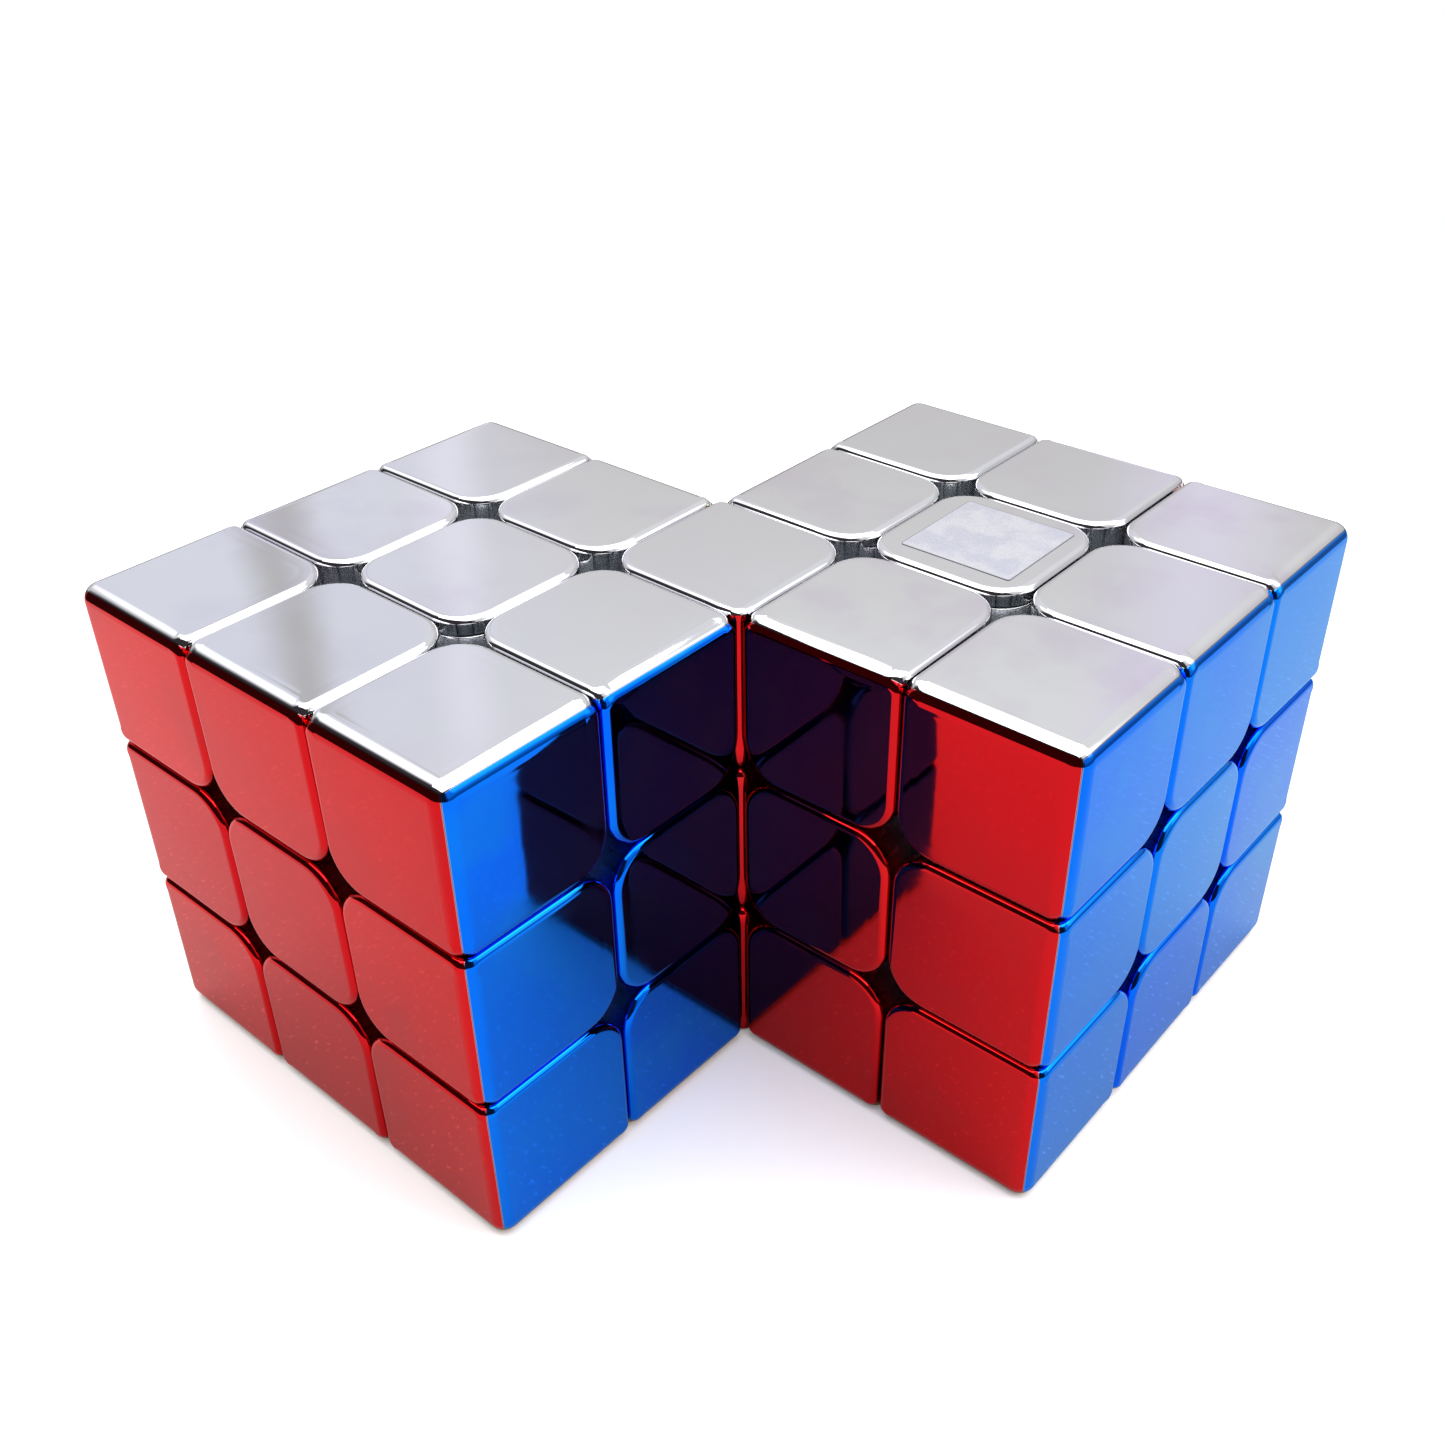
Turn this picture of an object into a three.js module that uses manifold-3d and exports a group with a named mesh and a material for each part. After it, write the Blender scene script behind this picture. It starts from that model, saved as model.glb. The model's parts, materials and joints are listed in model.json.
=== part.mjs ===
// Conjoined mirror-plated twisty cube: two 3x3x3 cubes that share one column of cubies.
// Millimetres, +Z up. The origin is the middle of the shared column's bottom face, on the surface
// that the puzzle stands on. +X is the blue side, -Y the red side, +Z the silver side.
import * as THREE from "three";
import { mergeVertices } from "three/addons/utils/BufferGeometryUtils.js";
import Module from "manifold-3d";

// ---- Driving dimensions -------------------------------------------------------------------------
const CUBE_EDGE = 56; // outside width of one 3x3x3 cube
const SLIT = 0.4; // running slit between two neighbouring cubies
const INNER_CORNER_RADIUS = 4.4; // rounding of a cubie's edges beside the centre pieces
const RIM_BEVEL = 0.8; // bevel round each visible face

const UNDERCUT_RADIUS = 22.2; // hollow under the edge and centre cubies, where the feet slide
const FOOT_RADIUS = 20.5; // outside of the feet
const VOID_RADIUS = 16.6; // inside of the feet, round the core
const FOOT_SPLIT = 5.4; // where the feet meet, nearer the axes than the cubies do
const FOOT_SLIT = 0.5; // running slit between two feet

const CORE_BALL_RADIUS = 6.6;
const ARM_RADIUS = 3.4;
const ARM_END = 12.4; // from the cube's middle
const STALK_RADIUS = 5.1; // the centre piece's round stalk
const STALK_END = 13;
const WELL_RADIUS = 3.6; // the well for the spring and screw
const WELL_FLOOR = 15.4;
const WELL_ROOF = 25.2;
const SCREW_RADIUS = 1.25;
const SCREW_BORE_RADIUS = 1.7; // in the centre piece's stalk, which turns on the screw
const SCREW_TIP = 3.5;
const HEAD_RADIUS = 2.9;
const HEAD_BOTTOM = 21.9;
const HEAD_TOP = 24;
const WASHER_BOTTOM = 20.9;
const WASHER_THICKNESS = 0.6;
const SPRING_RADIUS = 2.5; // to the middle of the wire
const SPRING_WIRE = 0.32; // the wire's radius
const SPRING_TURNS = 4.5;
const CAP_THICKNESS = 1.8;
const ASSEMBLY_GAP = 0.3; // between pieces that touch on the real puzzle

// ---- Worked-out dimensions ----------------------------------------------------------------------
const PITCH = CUBE_EDGE / 3;
const OUTSIDE = CUBE_EDGE / 2; // a cube's faces, from its middle
const CUBIE_INSIDE = PITCH / 2 + SLIT / 2; // where an edge or corner cubie starts
const MIDDLE_HALF = PITCH / 2 - SLIT / 2; // half width of a cubie of a middle slice
const FOOT_INSIDE = FOOT_SPLIT + FOOT_SLIT / 2;
const FOOT_HALF = FOOT_SPLIT - FOOT_SLIT / 2;

const ARC_SEGMENTS = 1.5; // three.js draws twice this many on each quarter arc
const FOOT_DETAIL = 2; // splits of the icosahedron behind each ball
const HOLLOW_DETAIL = 1;
const ROUND_SIDES = 12;
const HIDDEN_SIDES = 8; // round bars that are joined to the core

// ---- Plated finishes ----------------------------------------------------------------------------
const plated = (name, color) =>
  new THREE.MeshStandardMaterial({ name, color, metalness: 1, roughness: 0.08 });
const finish = {
  top: plated("plated_silver", 0xd9dade),
  bottom: plated("plated_gold", 0xe0b23a),
  front: plated("plated_red", 0xc41218),
  back: plated("plated_orange", 0xe8641a),
  right: plated("plated_blue", 0x1550e0),
  left: plated("plated_green", 0x1f9a3c),
  core: new THREE.MeshStandardMaterial({ name: "core_plastic", color: 0x24262a, roughness: 0.5 }),
  steel: new THREE.MeshStandardMaterial({
    name: "zinc_steel",
    color: 0xb9bbbd,
    metalness: 1,
    roughness: 0.3,
  }),
};

// ---- Solids from three.js geometry --------------------------------------------------------------
const wasm = await Module();
wasm.setup();

function solid(geometry) {
  const bare = geometry.index ? geometry.toNonIndexed() : geometry.clone();
  bare.deleteAttribute("normal");
  bare.deleteAttribute("uv");
  const merged = mergeVertices(bare, 1e-4);
  return new wasm.Manifold(
    new wasm.Mesh({
      numProp: 3,
      vertProperties: new Float32Array(merged.attributes.position.array),
      triVerts: new Uint32Array(merged.index.array),
    }),
  );
}

function geometryOf(manifold) {
  const mesh = manifold.getMesh();
  return new THREE.BufferGeometry()
    .setAttribute("position", new THREE.BufferAttribute(mesh.vertProperties, 3))
    .setIndex(new THREE.BufferAttribute(mesh.triVerts, 1));
}

// A box from its lowest corner to its highest.
function box(low, high) {
  const [x, y, z] = high.map((value, axis) => value - low[axis]);
  const middle = high.map((value, axis) => (value + low[axis]) / 2);
  return solid(new THREE.BoxGeometry(x, y, z).translate(...middle));
}

const ball = (radius, detail) => solid(new THREE.IcosahedronGeometry(radius, detail));

// A round bar on the Z axis.
const bar = (radius, bottom, top, sides = ROUND_SIDES) =>
  solid(
    new THREE.CylinderGeometry(radius, radius, top - bottom, sides)
      .rotateX(Math.PI / 2)
      .translate(0, 0, (top + bottom) / 2),
  );

// A rectangle whose corners have the radii given, from (low, low) anticlockwise.
function roundedRectangle([x0, y0], [x1, y1], radii) {
  const corners = [
    [x0, y0, 1, 1],
    [x1, y0, -1, 1],
    [x1, y1, -1, -1],
    [x0, y1, 1, -1],
  ];
  const shape = new THREE.Shape();
  corners.forEach(([x, y, inX, inY], n) => {
    const radius = radii[n];
    const start = Math.PI + (n * Math.PI) / 2;
    if (radius) {
      shape.absarc(x + inX * radius, y + inY * radius, radius, start, start + Math.PI / 2);
    } else if (n) {
      shape.lineTo(x, y);
    } else {
      shape.moveTo(x, y);
    }
  });
  return shape;
}

// An outline carried along Z up to the cube's outside, with a bevelled rim there.
function facePrism(outline, bottom = 0) {
  const body = OUTSIDE - bottom - RIM_BEVEL;
  return new THREE.ExtrudeGeometry(outline, {
    depth: body,
    curveSegments: ARC_SEGMENTS,
    bevelEnabled: true,
    bevelSegments: 1,
    bevelThickness: RIM_BEVEL,
    bevelSize: RIM_BEVEL,
    bevelOffset: -RIM_BEVEL,
  }).translate(0, 0, bottom);
}

// Turns +X, +Y, +Z into the directions a, b and c, and moves the result.
const turned = (a, b, c, move = new THREE.Vector3()) =>
  new THREE.Matrix4().makeBasis(a, b, c).setPosition(move);

const moved = (manifold, matrix) => solid(geometryOf(manifold).applyMatrix4(matrix));

// ---- The kinds of cubie, each in its cube's own frame -------------------------------------------
const X = new THREE.Vector3(1, 0, 0);
const Y = new THREE.Vector3(0, 1, 0);
const Z = new THREE.Vector3(0, 0, 1);
const undercut = ball(UNDERCUT_RADIUS, HOLLOW_DETAIL);
const footBall = ball(FOOT_RADIUS, FOOT_DETAIL);
const coreRoom = ball(VOID_RADIUS, HOLLOW_DETAIL);

// The corner cubie on the +X +Y +Z corner: three bevelled faces and a foot on the diagonal.
function cornerCubie() {
  const outline = roundedRectangle([CUBIE_INSIDE, CUBIE_INSIDE], [OUTSIDE, OUTSIDE], [
    INNER_CORNER_RADIUS,
    0,
    0,
    0,
  ]);
  const prism = facePrism(outline);
  const body = solid(prism.clone())
    .intersect(solid(prism.clone().applyMatrix4(turned(Y, Z, X))))
    .intersect(solid(prism.clone().applyMatrix4(turned(Z, X, Y))))
    .subtract(coreRoom);
  const footBlock = box([FOOT_INSIDE, FOOT_INSIDE, FOOT_INSIDE], [OUTSIDE, OUTSIDE, OUTSIDE]);
  const foot = footBlock.intersect(footBall).subtract(coreRoom);
  return { body, foot };
}

// The edge cubie between the +Y and +Z faces: two bevelled faces, a neck and a foot.
function edgeCubie() {
  const outline = roundedRectangle([-MIDDLE_HALF, CUBIE_INSIDE], [MIDDLE_HALF, OUTSIDE], [
    INNER_CORNER_RADIUS,
    INNER_CORNER_RADIUS,
    0,
    0,
  ]);
  const prism = facePrism(outline);
  const swapped = turned(X.clone().negate(), Z, Y);
  const block = solid(prism.clone()).intersect(solid(prism.clone().applyMatrix4(swapped)));
  const neck = box([-FOOT_HALF, 0, 0], [FOOT_HALF, OUTSIDE, OUTSIDE]);
  const body = block.subtract(undercut.subtract(neck)).subtract(coreRoom);
  const footBlock = box([-FOOT_HALF, FOOT_INSIDE, FOOT_INSIDE], [FOOT_HALF, OUTSIDE, OUTSIDE]);
  const foot = footBlock.intersect(footBall).subtract(coreRoom);
  return { body, foot };
}

const centreOutline = () =>
  roundedRectangle([-MIDDLE_HALF, -MIDDLE_HALF], [MIDDLE_HALF, MIDDLE_HALF], [
    INNER_CORNER_RADIUS,
    INNER_CORNER_RADIUS,
    INNER_CORNER_RADIUS,
    INNER_CORNER_RADIUS,
  ]);

// The centre piece on the +Z face: a square block on a round stalk, which turns on its screw.
function centrePiece() {
  const block = solid(facePrism(centreOutline(), STALK_END)).subtract(undercut);
  return block
    .add(bar(STALK_RADIUS, STALK_END, WELL_ROOF))
    .subtract(bar(WELL_RADIUS, WELL_FLOOR, WELL_ROOF))
    .subtract(bar(SCREW_BORE_RADIUS, 0, WELL_ROOF));
}

// The same centre piece with its cover off: the base, open at the top of its well.
function centreBase() {
  const top = OUTSIDE - CAP_THICKNESS - ASSEMBLY_GAP;
  const above = box([-PITCH, -PITCH, top], [PITCH, PITCH, OUTSIDE + 1]);
  return centrePiece().subtract(above).subtract(bar(WELL_RADIUS, WELL_FLOOR, OUTSIDE));
}

// The push-in cover: a plate with a round plug that grips the mouth of the well.
function centreCap() {
  const bottom = OUTSIDE - CAP_THICKNESS;
  const plate = solid(facePrism(centreOutline(), bottom - RIM_BEVEL)).intersect(
    box([-PITCH, -PITCH, bottom], [PITCH, PITCH, OUTSIDE + 1]),
  );
  const plug = bar(WELL_RADIUS - ASSEMBLY_GAP, HEAD_TOP + ASSEMBLY_GAP, bottom + ASSEMBLY_GAP);
  const hollow = bar(WELL_RADIUS - ASSEMBLY_GAP - 1, 0, bottom);
  return plate.add(plug.subtract(hollow));
}

// A pan-head screw on +Z, and the slot in its head.
const plainScrew = (sides) =>
  bar(SCREW_RADIUS, SCREW_TIP, HEAD_BOTTOM + 1, sides).add(
    bar(HEAD_RADIUS, HEAD_BOTTOM, HEAD_TOP, sides),
  );

function screw() {
  const slot = box([-HEAD_RADIUS, -0.4, HEAD_TOP - 0.8], [HEAD_RADIUS, 0.4, HEAD_TOP + 1]);
  return plainScrew(ROUND_SIDES).subtract(slot);
}

const washer = () =>
  bar(HEAD_RADIUS + 0.2, WASHER_BOTTOM, WASHER_BOTTOM + WASHER_THICKNESS).subtract(
    bar(SCREW_RADIUS + ASSEMBLY_GAP, 0, OUTSIDE),
  );

// A compression spring round the screw, from the floor of the well to the washer.
class Helix extends THREE.Curve {
  getPoint(t, target = new THREE.Vector3()) {
    const bottom = WELL_FLOOR + SPRING_WIRE + ASSEMBLY_GAP;
    const top = WASHER_BOTTOM - SPRING_WIRE - ASSEMBLY_GAP;
    const angle = 2 * Math.PI * SPRING_TURNS * t;
    return target.set(
      SPRING_RADIUS * Math.cos(angle),
      SPRING_RADIUS * Math.sin(angle),
      bottom + (top - bottom) * t,
    );
  }
}

function spring() {
  const section = new THREE.Shape().absarc(0, 0, SPRING_WIRE, 0, 2 * Math.PI);
  return new THREE.ExtrudeGeometry(section, {
    steps: 8 * SPRING_TURNS,
    curveSegments: 3,
    extrudePath: new Helix(),
  });
}

// The six-armed core. An arm whose screw is a separate piece has a clear bore instead.
function core(arms, looseArm) {
  let made = ball(CORE_BALL_RADIUS, HOLLOW_DETAIL);
  for (const [a, b, c] of arms) {
    const frame = turned(a, b, c);
    made = made.add(moved(bar(ARM_RADIUS, 0, ARM_END, HIDDEN_SIDES), frame));
    if (c !== looseArm) made = made.add(moved(plainScrew(HIDDEN_SIDES), frame));
  }
  return made.subtract(bar(SCREW_RADIUS + ASSEMBLY_GAP, SCREW_TIP - ASSEMBLY_GAP, OUTSIDE));
}

// ---- Assembly -----------------------------------------------------------------------------------
const SIDES = [
  { name: "right", normal: X },
  { name: "left", normal: X.clone().negate() },
  { name: "front", normal: Y.clone().negate() },
  { name: "back", normal: Y },
  { name: "top", normal: Z },
  { name: "bottom", normal: Z.clone().negate() },
];
const side = (name) => SIDES.find((s) => s.name === name);

// A right-handed frame whose third direction is the face's normal.
function faceFrame(normal) {
  const across = Math.abs(normal.z) > 0.5 ? X : Z;
  return [across, new THREE.Vector3().crossVectors(normal, across), normal];
}

// A right-handed frame that carries the +X +Y +Z corner to the corner of three faces.
function cornerFrame(names) {
  const [a, b, c] = names.map((name) => side(name).normal);
  const rightHanded = new THREE.Vector3().crossVectors(a, b).dot(c) > 0;
  return rightHanded ? [a, b, c] : [b, a, c];
}

// A right-handed frame that carries the +Y +Z edge to the edge of two faces.
function edgeFrame(names) {
  const [b, c] = names.map((name) => side(name).normal);
  return [new THREE.Vector3().crossVectors(b, c), b, c];
}

const joined = ({ body, foot }) => geometryOf(body.add(foot));
const corner = cornerCubie();
const edge = edgeCubie();
const cornerGeometry = joined(corner);
const edgeGeometry = joined(edge);
const centreGeometry = geometryOf(centrePiece());
const baseGeometry = geometryOf(centreBase());
const capGeometry = geometryOf(centreCap());
const coreGeometry = geometryOf(core(SIDES.map((s) => faceFrame(s.normal)), Z));

const puzzle = new THREE.Group();

function place(parent, name, geometry, material, frame) {
  const mesh = new THREE.Mesh(geometry, material);
  mesh.name = name;
  if (frame) mesh.quaternion.setFromRotationMatrix(turned(...frame));
  parent.add(mesh);
}

const VERTICAL = ["top", "bottom"];
const FRONT_BACK = ["front", "back"];
const LEFT_RIGHT = ["left", "right"];

// One 3x3x3 cube in its own group. The cubies of the column between the two shared sides are left out.
function buildCube(cubeName, middle, sharedSides) {
  const cube = new THREE.Group();
  cube.position.copy(middle);
  const shared = (names) => sharedSides.every((name) => names.includes(name));
  const addEdge = (...names) => {
    if (shared(names)) return;
    const label = `${cubeName}_edge_${names.join("_")}`;
    place(cube, label, edgeGeometry, finish[names[0]], edgeFrame(names));
  };

  for (const up of VERTICAL) {
    for (const depth of FRONT_BACK) {
      addEdge(up, depth);
      for (const across of LEFT_RIGHT) {
        const names = [up, depth, across];
        if (shared(names)) continue;
        const label = `${cubeName}_corner_${names.join("_")}`;
        place(cube, label, cornerGeometry, finish[up], cornerFrame(names));
      }
    }
    for (const across of LEFT_RIGHT) addEdge(up, across);
  }
  for (const depth of FRONT_BACK) {
    for (const across of LEFT_RIGHT) addEdge(depth, across);
  }
  for (const { name, normal } of SIDES) {
    if (name === "top") continue;
    place(cube, `${cubeName}_centre_${name}`, centreGeometry, finish[name], faceFrame(normal));
  }

  // The top centre is kept in its separate pieces.
  place(cube, `${cubeName}_centre_top_base`, baseGeometry, finish.top);
  place(cube, `${cubeName}_centre_top_cap`, capGeometry, finish.top);
  place(cube, `${cubeName}_top_screw`, geometryOf(screw()), finish.steel);
  place(cube, `${cubeName}_top_washer`, geometryOf(washer()), finish.steel);
  place(cube, `${cubeName}_top_spring`, spring(), finish.steel);
  place(cube, `${cubeName}_core`, coreGeometry, finish.core);
  puzzle.add(cube);
}

const leftMiddle = new THREE.Vector3(-PITCH, -PITCH, OUTSIDE);
const rightMiddle = new THREE.Vector3(PITCH, PITCH, OUTSIDE);
buildCube("left_cube", leftMiddle, ["back", "right"]);
buildCube("right_cube", rightMiddle, ["front", "left"]);

// A cubie of the shared column is where both cubes' cubies overlap, with a foot for each cube.
function sharedCubie(name, kind, frameOf, leftNames, rightNames, material) {
  const inLeft = turned(...frameOf(leftNames), leftMiddle);
  const inRight = turned(...frameOf(rightNames), rightMiddle);
  const made = moved(kind.body, inLeft)
    .intersect(moved(kind.body, inRight))
    .add(moved(kind.foot, inLeft))
    .add(moved(kind.foot, inRight));
  place(puzzle, name, geometryOf(made), material);
}

for (const up of VERTICAL) {
  const left = [up, "back", "right"];
  const right = [up, "front", "left"];
  sharedCubie(`shared_corner_${up}`, corner, cornerFrame, left, right, finish[up]);
}
sharedCubie("shared_edge", edge, edgeFrame, ["back", "right"], ["front", "left"], finish.front);

export default puzzle;
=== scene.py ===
# %% [markdown]
# # Two mirror-plated twisty cubes joined along one column
# The puzzle is two 3x3x3 cubes that share a column of three cubies. Every cubie is a dark ABS
# moulding with a foot inside, and each of its outward faces is a separate plated shell. The packed
# CAD model gives every place and size, so this lesson starts by loading it as a fixed frame. All
# numbers below are metres, written as millimetres times MM.

import itertools
import json
import math

import bmesh
import bpy
import numpy as np
from mathutils import Matrix, Vector

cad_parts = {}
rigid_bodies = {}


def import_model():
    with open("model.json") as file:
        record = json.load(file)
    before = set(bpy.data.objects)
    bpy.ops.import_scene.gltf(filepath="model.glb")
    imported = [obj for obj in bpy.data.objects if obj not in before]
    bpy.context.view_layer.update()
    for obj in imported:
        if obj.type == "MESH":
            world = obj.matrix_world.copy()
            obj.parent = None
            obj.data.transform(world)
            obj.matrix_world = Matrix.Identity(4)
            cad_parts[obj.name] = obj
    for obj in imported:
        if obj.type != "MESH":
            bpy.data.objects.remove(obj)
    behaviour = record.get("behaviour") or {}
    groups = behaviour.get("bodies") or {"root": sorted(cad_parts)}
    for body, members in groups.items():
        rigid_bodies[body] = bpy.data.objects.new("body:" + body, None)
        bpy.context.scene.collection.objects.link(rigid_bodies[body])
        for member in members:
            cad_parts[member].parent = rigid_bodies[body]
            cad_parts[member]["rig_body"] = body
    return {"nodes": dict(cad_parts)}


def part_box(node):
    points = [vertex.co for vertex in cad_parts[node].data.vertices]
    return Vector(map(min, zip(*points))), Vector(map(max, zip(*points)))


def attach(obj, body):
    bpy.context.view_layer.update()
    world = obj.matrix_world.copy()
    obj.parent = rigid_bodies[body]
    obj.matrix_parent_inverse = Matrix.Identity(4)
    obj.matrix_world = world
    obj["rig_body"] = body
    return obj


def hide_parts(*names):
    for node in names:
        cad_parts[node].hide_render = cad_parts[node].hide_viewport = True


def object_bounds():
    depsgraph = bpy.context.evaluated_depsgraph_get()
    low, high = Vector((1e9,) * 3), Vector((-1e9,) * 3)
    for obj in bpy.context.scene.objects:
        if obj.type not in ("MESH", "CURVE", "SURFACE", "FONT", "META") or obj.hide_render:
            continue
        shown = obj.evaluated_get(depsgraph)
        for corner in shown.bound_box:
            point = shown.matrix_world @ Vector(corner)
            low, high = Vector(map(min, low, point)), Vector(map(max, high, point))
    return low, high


MM = 0.001
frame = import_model()
cad_low, cad_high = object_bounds()
nodes = frame["nodes"]
print("CAD nodes:", len(nodes), "box in mm:", [round(x / MM, 2) for x in cad_high - cad_low])

# %% [markdown]
# ## Sizes that the whole puzzle follows
# A cubie is a third of a cube's edge less a running slit, so a few numbers place all 49 cubies.
# The edge comes from the height of the CAD box. The left cube's middle lies one cubie towards -X
# and -Y from the shared column, and the right cube's middle one cubie towards +X and +Y.

# %% Driving sizes
cube_edge = cad_high.z - cad_low.z
pitch = cube_edge / 3
outside = cube_edge / 2
slit = 0.3 * MM  # between the plated shells; the mouldings behind stand farther apart
middle_half = (pitch - slit) / 2
outer_start = (pitch + slit) / 2
round_by_centre = 4.4 * MM
round_at_edge = 1.9 * MM  # also how far the cube's own edges are rounded

cube_middles = {
    "left_cube": np.array([-pitch, -pitch, outside]),
    "right_cube": np.array([pitch, pitch, outside]),
}
print("cubie pitch in mm:", round(pitch / MM, 3))

# %% [markdown]
# ## The cubies and their names
# A cubie is found by three steps from its cube's middle, each -1, 0 or 1. One step away is a
# centre, two an edge and three a corner. Names follow the CAD model: first the kind, then the side
# words in the order up or down, front or back, left or right. The column at both cubes' inner
# corner is shared, so it is listed once.

# %% List the cubies
SIDE_WORDS = {
    (2, 1): "top",
    (2, -1): "bottom",
    (1, -1): "front",
    (1, 1): "back",
    (0, -1): "left",
    (0, 1): "right",
}
KINDS = {1: "centre", 2: "edge", 3: "corner"}
SHARED_STEP = {"left_cube": 1, "right_cube": -1}


def cubie_name(cube, steps):
    """The CAD name: the kind, then a word for each of the steps taken."""
    taken = [SIDE_WORDS[axis, steps[axis]] for axis in (2, 1, 0) if steps[axis]]
    if steps[0] == steps[1] == SHARED_STEP[cube]:
        return "shared_edge" if steps[2] == 0 else f"shared_corner_{taken[0]}"
    return "_".join([cube, KINDS[len(taken)], *taken])


def is_shared(name):
    return name.startswith("shared")


cubies = {}
for cube in cube_middles:
    for steps in itertools.product((-1, 0, 1), repeat=3):
        if any(steps):
            cubies.setdefault(cubie_name(cube, steps), (cube, steps))
print("cubies:", len(cubies))

# %% [markdown]
# ## Surfaces from rings of points
# Nearly every new piece is a stack of rings with the same number of points: a profile carried
# round an outline. Four neighbouring points make a face, and a pole or the first ring closes each
# end. Working on whole arrays keeps this quick, and every piece comes out as one closed skin.

# %% Rings into a mesh
def link_piece(name, mesh, material, body, sharp=None):
    """Makes a mesh a piece of the puzzle: material, shading and the body it rides on."""
    piece = bpy.data.objects.new(name, mesh)
    bpy.context.scene.collection.objects.link(piece)
    mesh.materials.clear()
    mesh.materials.append(material)
    mesh.shade_smooth()
    if sharp is not None:
        mesh.set_sharp_from_angle(angle=math.radians(sharp))
    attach(piece, body)
    return piece


def ring_faces(rings, points, wrap=False):
    """Quads between ring r and r + 1, over all points, with the last point joined to the first."""
    r = np.arange(rings if wrap else rings - 1)[:, None]
    i = np.arange(points)[None, :]
    after, beside = (r + 1) % rings, (i + 1) % points
    corners = [r * points + i, after * points + i, after * points + beside, r * points + beside]
    return np.stack(corners, axis=-1).reshape(-1, 4)


def mesh_of_rings(name, rings, wrap=False, poles=True, marks=None):
    """rings is (rings, points, 3). Poles are the means of the first and last ring, and close them.
    marks are named values for the finish, one number for the piece or one for each ring point."""
    count, points = rings.shape[:2]
    quads = ring_faces(count, points, wrap)
    places = rings.reshape(-1, 3)
    faces = quads.tolist()
    if poles and not wrap:
        places = np.vstack([places, rings[0].mean(axis=0), rings[-1].mean(axis=0)])
        i = np.arange(points)
        beside = (i + 1) % points
        start, end = count * points, count * points + 1
        last = (count - 1) * points
        first_fan = np.stack([np.full(points, start), i, beside], axis=-1)
        last_fan = np.stack([last + beside, last + i, np.full(points, end)], axis=-1)
        faces += first_fan.tolist() + last_fan.tolist()
    mesh = bpy.data.meshes.new(name)
    mesh.from_pydata(places.tolist(), [], faces)
    for mark, values in (marks or {}).items():
        values = np.broadcast_to(values, rings.shape[:2]).ravel()
        values = np.append(values, [values[0], values[-1]])[: len(places)]
        mesh.attributes.new(mark, "FLOAT", "POINT").data.foreach_set("value", values)
    mesh.update()
    return mesh


# %% [markdown]
# ## Materials
# One function adds a node, sets it and links it, and colours are written as the sRGB hex values
# that a colour picker shows. Blender works in linear light, so one function turns them.

# %% Node and colour helpers
def linear(hex_colour):
    """sRGB to linear: v / 12.92 below 0.04045, else ((v + 0.055) / 1.055) to the power 2.4."""
    srgb = np.array([int(hex_colour[i : i + 2], 16) for i in (1, 3, 5)]) / 255
    value = np.where(srgb <= 0.04045, srgb / 12.92, ((srgb + 0.055) / 1.055) ** 2.4)
    return (*value.tolist(), 1.0)


def add(tree, kind, sockets=None, **settings):
    """A node of that kind. A socket is given a value, or another node's output to link."""
    made = tree.nodes.new(kind)
    for key, value in settings.items():
        setattr(made, key, value)
    for key, value in (sockets or {}).items():
        if isinstance(value, bpy.types.NodeSocket):
            tree.links.new(value, made.inputs[key])
        else:
            made.inputs[key].default_value = value
    return made


def material(name):
    """An empty material with an output node, and its node tree."""
    made = bpy.data.materials.new(name)
    made.use_nodes = True
    made.node_tree.nodes.clear()
    return made, made.node_tree


def per_pattern(size):
    """A noise texture's scale for features of that size in metres."""
    return 1 / size


def eased_share(tree, value, start, end):
    """0 before start, 1 after end and smooth between; start may be the larger."""
    ramp = {"Value": value, "From Min": start, "From Max": end}
    eased = add(tree, "ShaderNodeMapRange", ramp, interpolation_type="SMOOTHSTEP")
    return eased.outputs["Result"]


def relief(tree, place, size, height, detail=1.0, under=None):
    """Normals bent by noise whose features are that wide and high, on top of other normals."""
    noise = {"Vector": place, "Scale": per_pattern(size), "Detail": detail}
    bumps = add(tree, "ShaderNodeTexNoise", noise).outputs["Fac"]
    sockets = {"Height": bumps, "Distance": height, "Strength": 1.0}
    if under is not None:
        sockets["Normal"] = under
    return add(tree, "ShaderNodeBump", sockets).outputs["Normal"]


# %% [markdown]
# ### Vacuum-metallised ABS
# The coloured faces are ABS moulded in a polished tool, given a bright metal film in a vacuum and
# then dipped in tinted clear lacquer. The metal gives a mirror of the lacquer's colour, and the
# lacquer's own untinted gloss is added at shallow angles, which is why a red side looks pinker
# where the eye meets it edge on. Handling leaves soft smudges some 10 mm across, and the moulding
# underneath is never quite flat, so reflections swim a little. The metal arrives from outside, so
# it thins out down the walls of the slits, where the plastic's own dull colour takes over. Each
# tray carries that as an attribute, 0 on its face and 1 deep in a slit. A second one marks the
# thin edges on the mitres, which wear pale, and a third how long that shell was in the tinted dip.

# %% Vacuum-metallised ABS
SMUDGE_SIZE = 11 * MM
WAVE_SIZE = 9 * MM
WAVE_HEIGHT = 0.017 * MM
PEEL_SIZE = 1.1 * MM  # orange peel of the lacquer
PEEL_HEIGHT = 0.00025 * MM

LACQUER = 0.03  # share of a full clear coat, for a dipped film that is only microns thick
BARE_WALL = "#7f8e99"  # slate-coloured plastic where next to no metal arrives
LEAST_METAL = 0.35  # how much of a metal such a wall still is
WALL_DULLING = 0.3  # roughness added there
WORN_TONE = "#b4b6bb"
LEAST_ROUGH = 0.035
MOST_ROUGH = 0.1


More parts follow.
